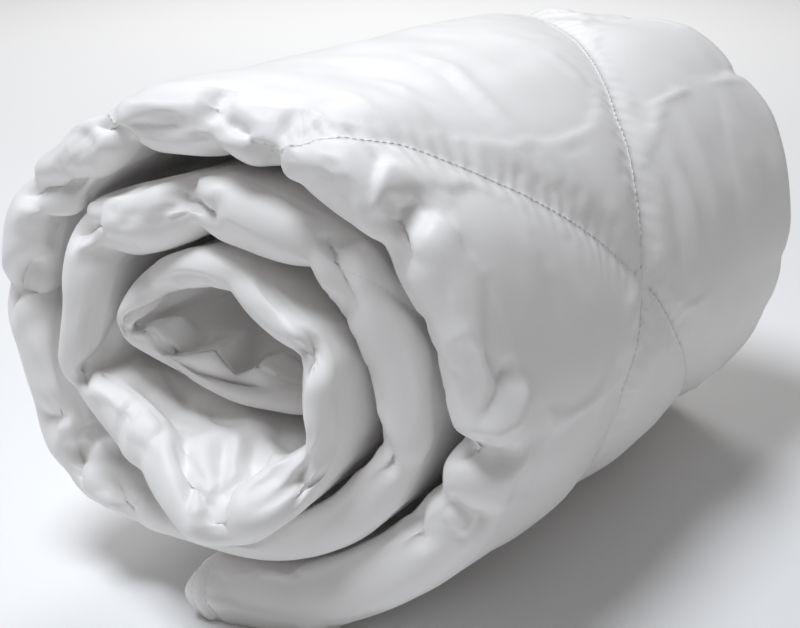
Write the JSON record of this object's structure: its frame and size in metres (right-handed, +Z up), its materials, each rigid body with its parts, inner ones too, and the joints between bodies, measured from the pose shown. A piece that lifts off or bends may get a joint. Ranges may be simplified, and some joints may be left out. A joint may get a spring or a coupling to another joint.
{
  "type": "rolled duvet",
  "caption": "Quilted, filled duvet folded lengthwise and wound into a soft roll around a crumpled core, lying on its side with its loose end tucked under.",
  "frame": {"origin": "middle of the roll in plan, on the surface it lies on", "axes": "+Y along the axis of the roll, from the end that shows the windings to the other end; +Z up"},
  "size_m": [0.3536, 0.5394, 0.3236],
  "materials": {
    "cover": "white satin-weave cloth with a soft sheen"
  },
  "bodies": {
    "root": {"duvet": "cover"}
  },
  "joints": []
}
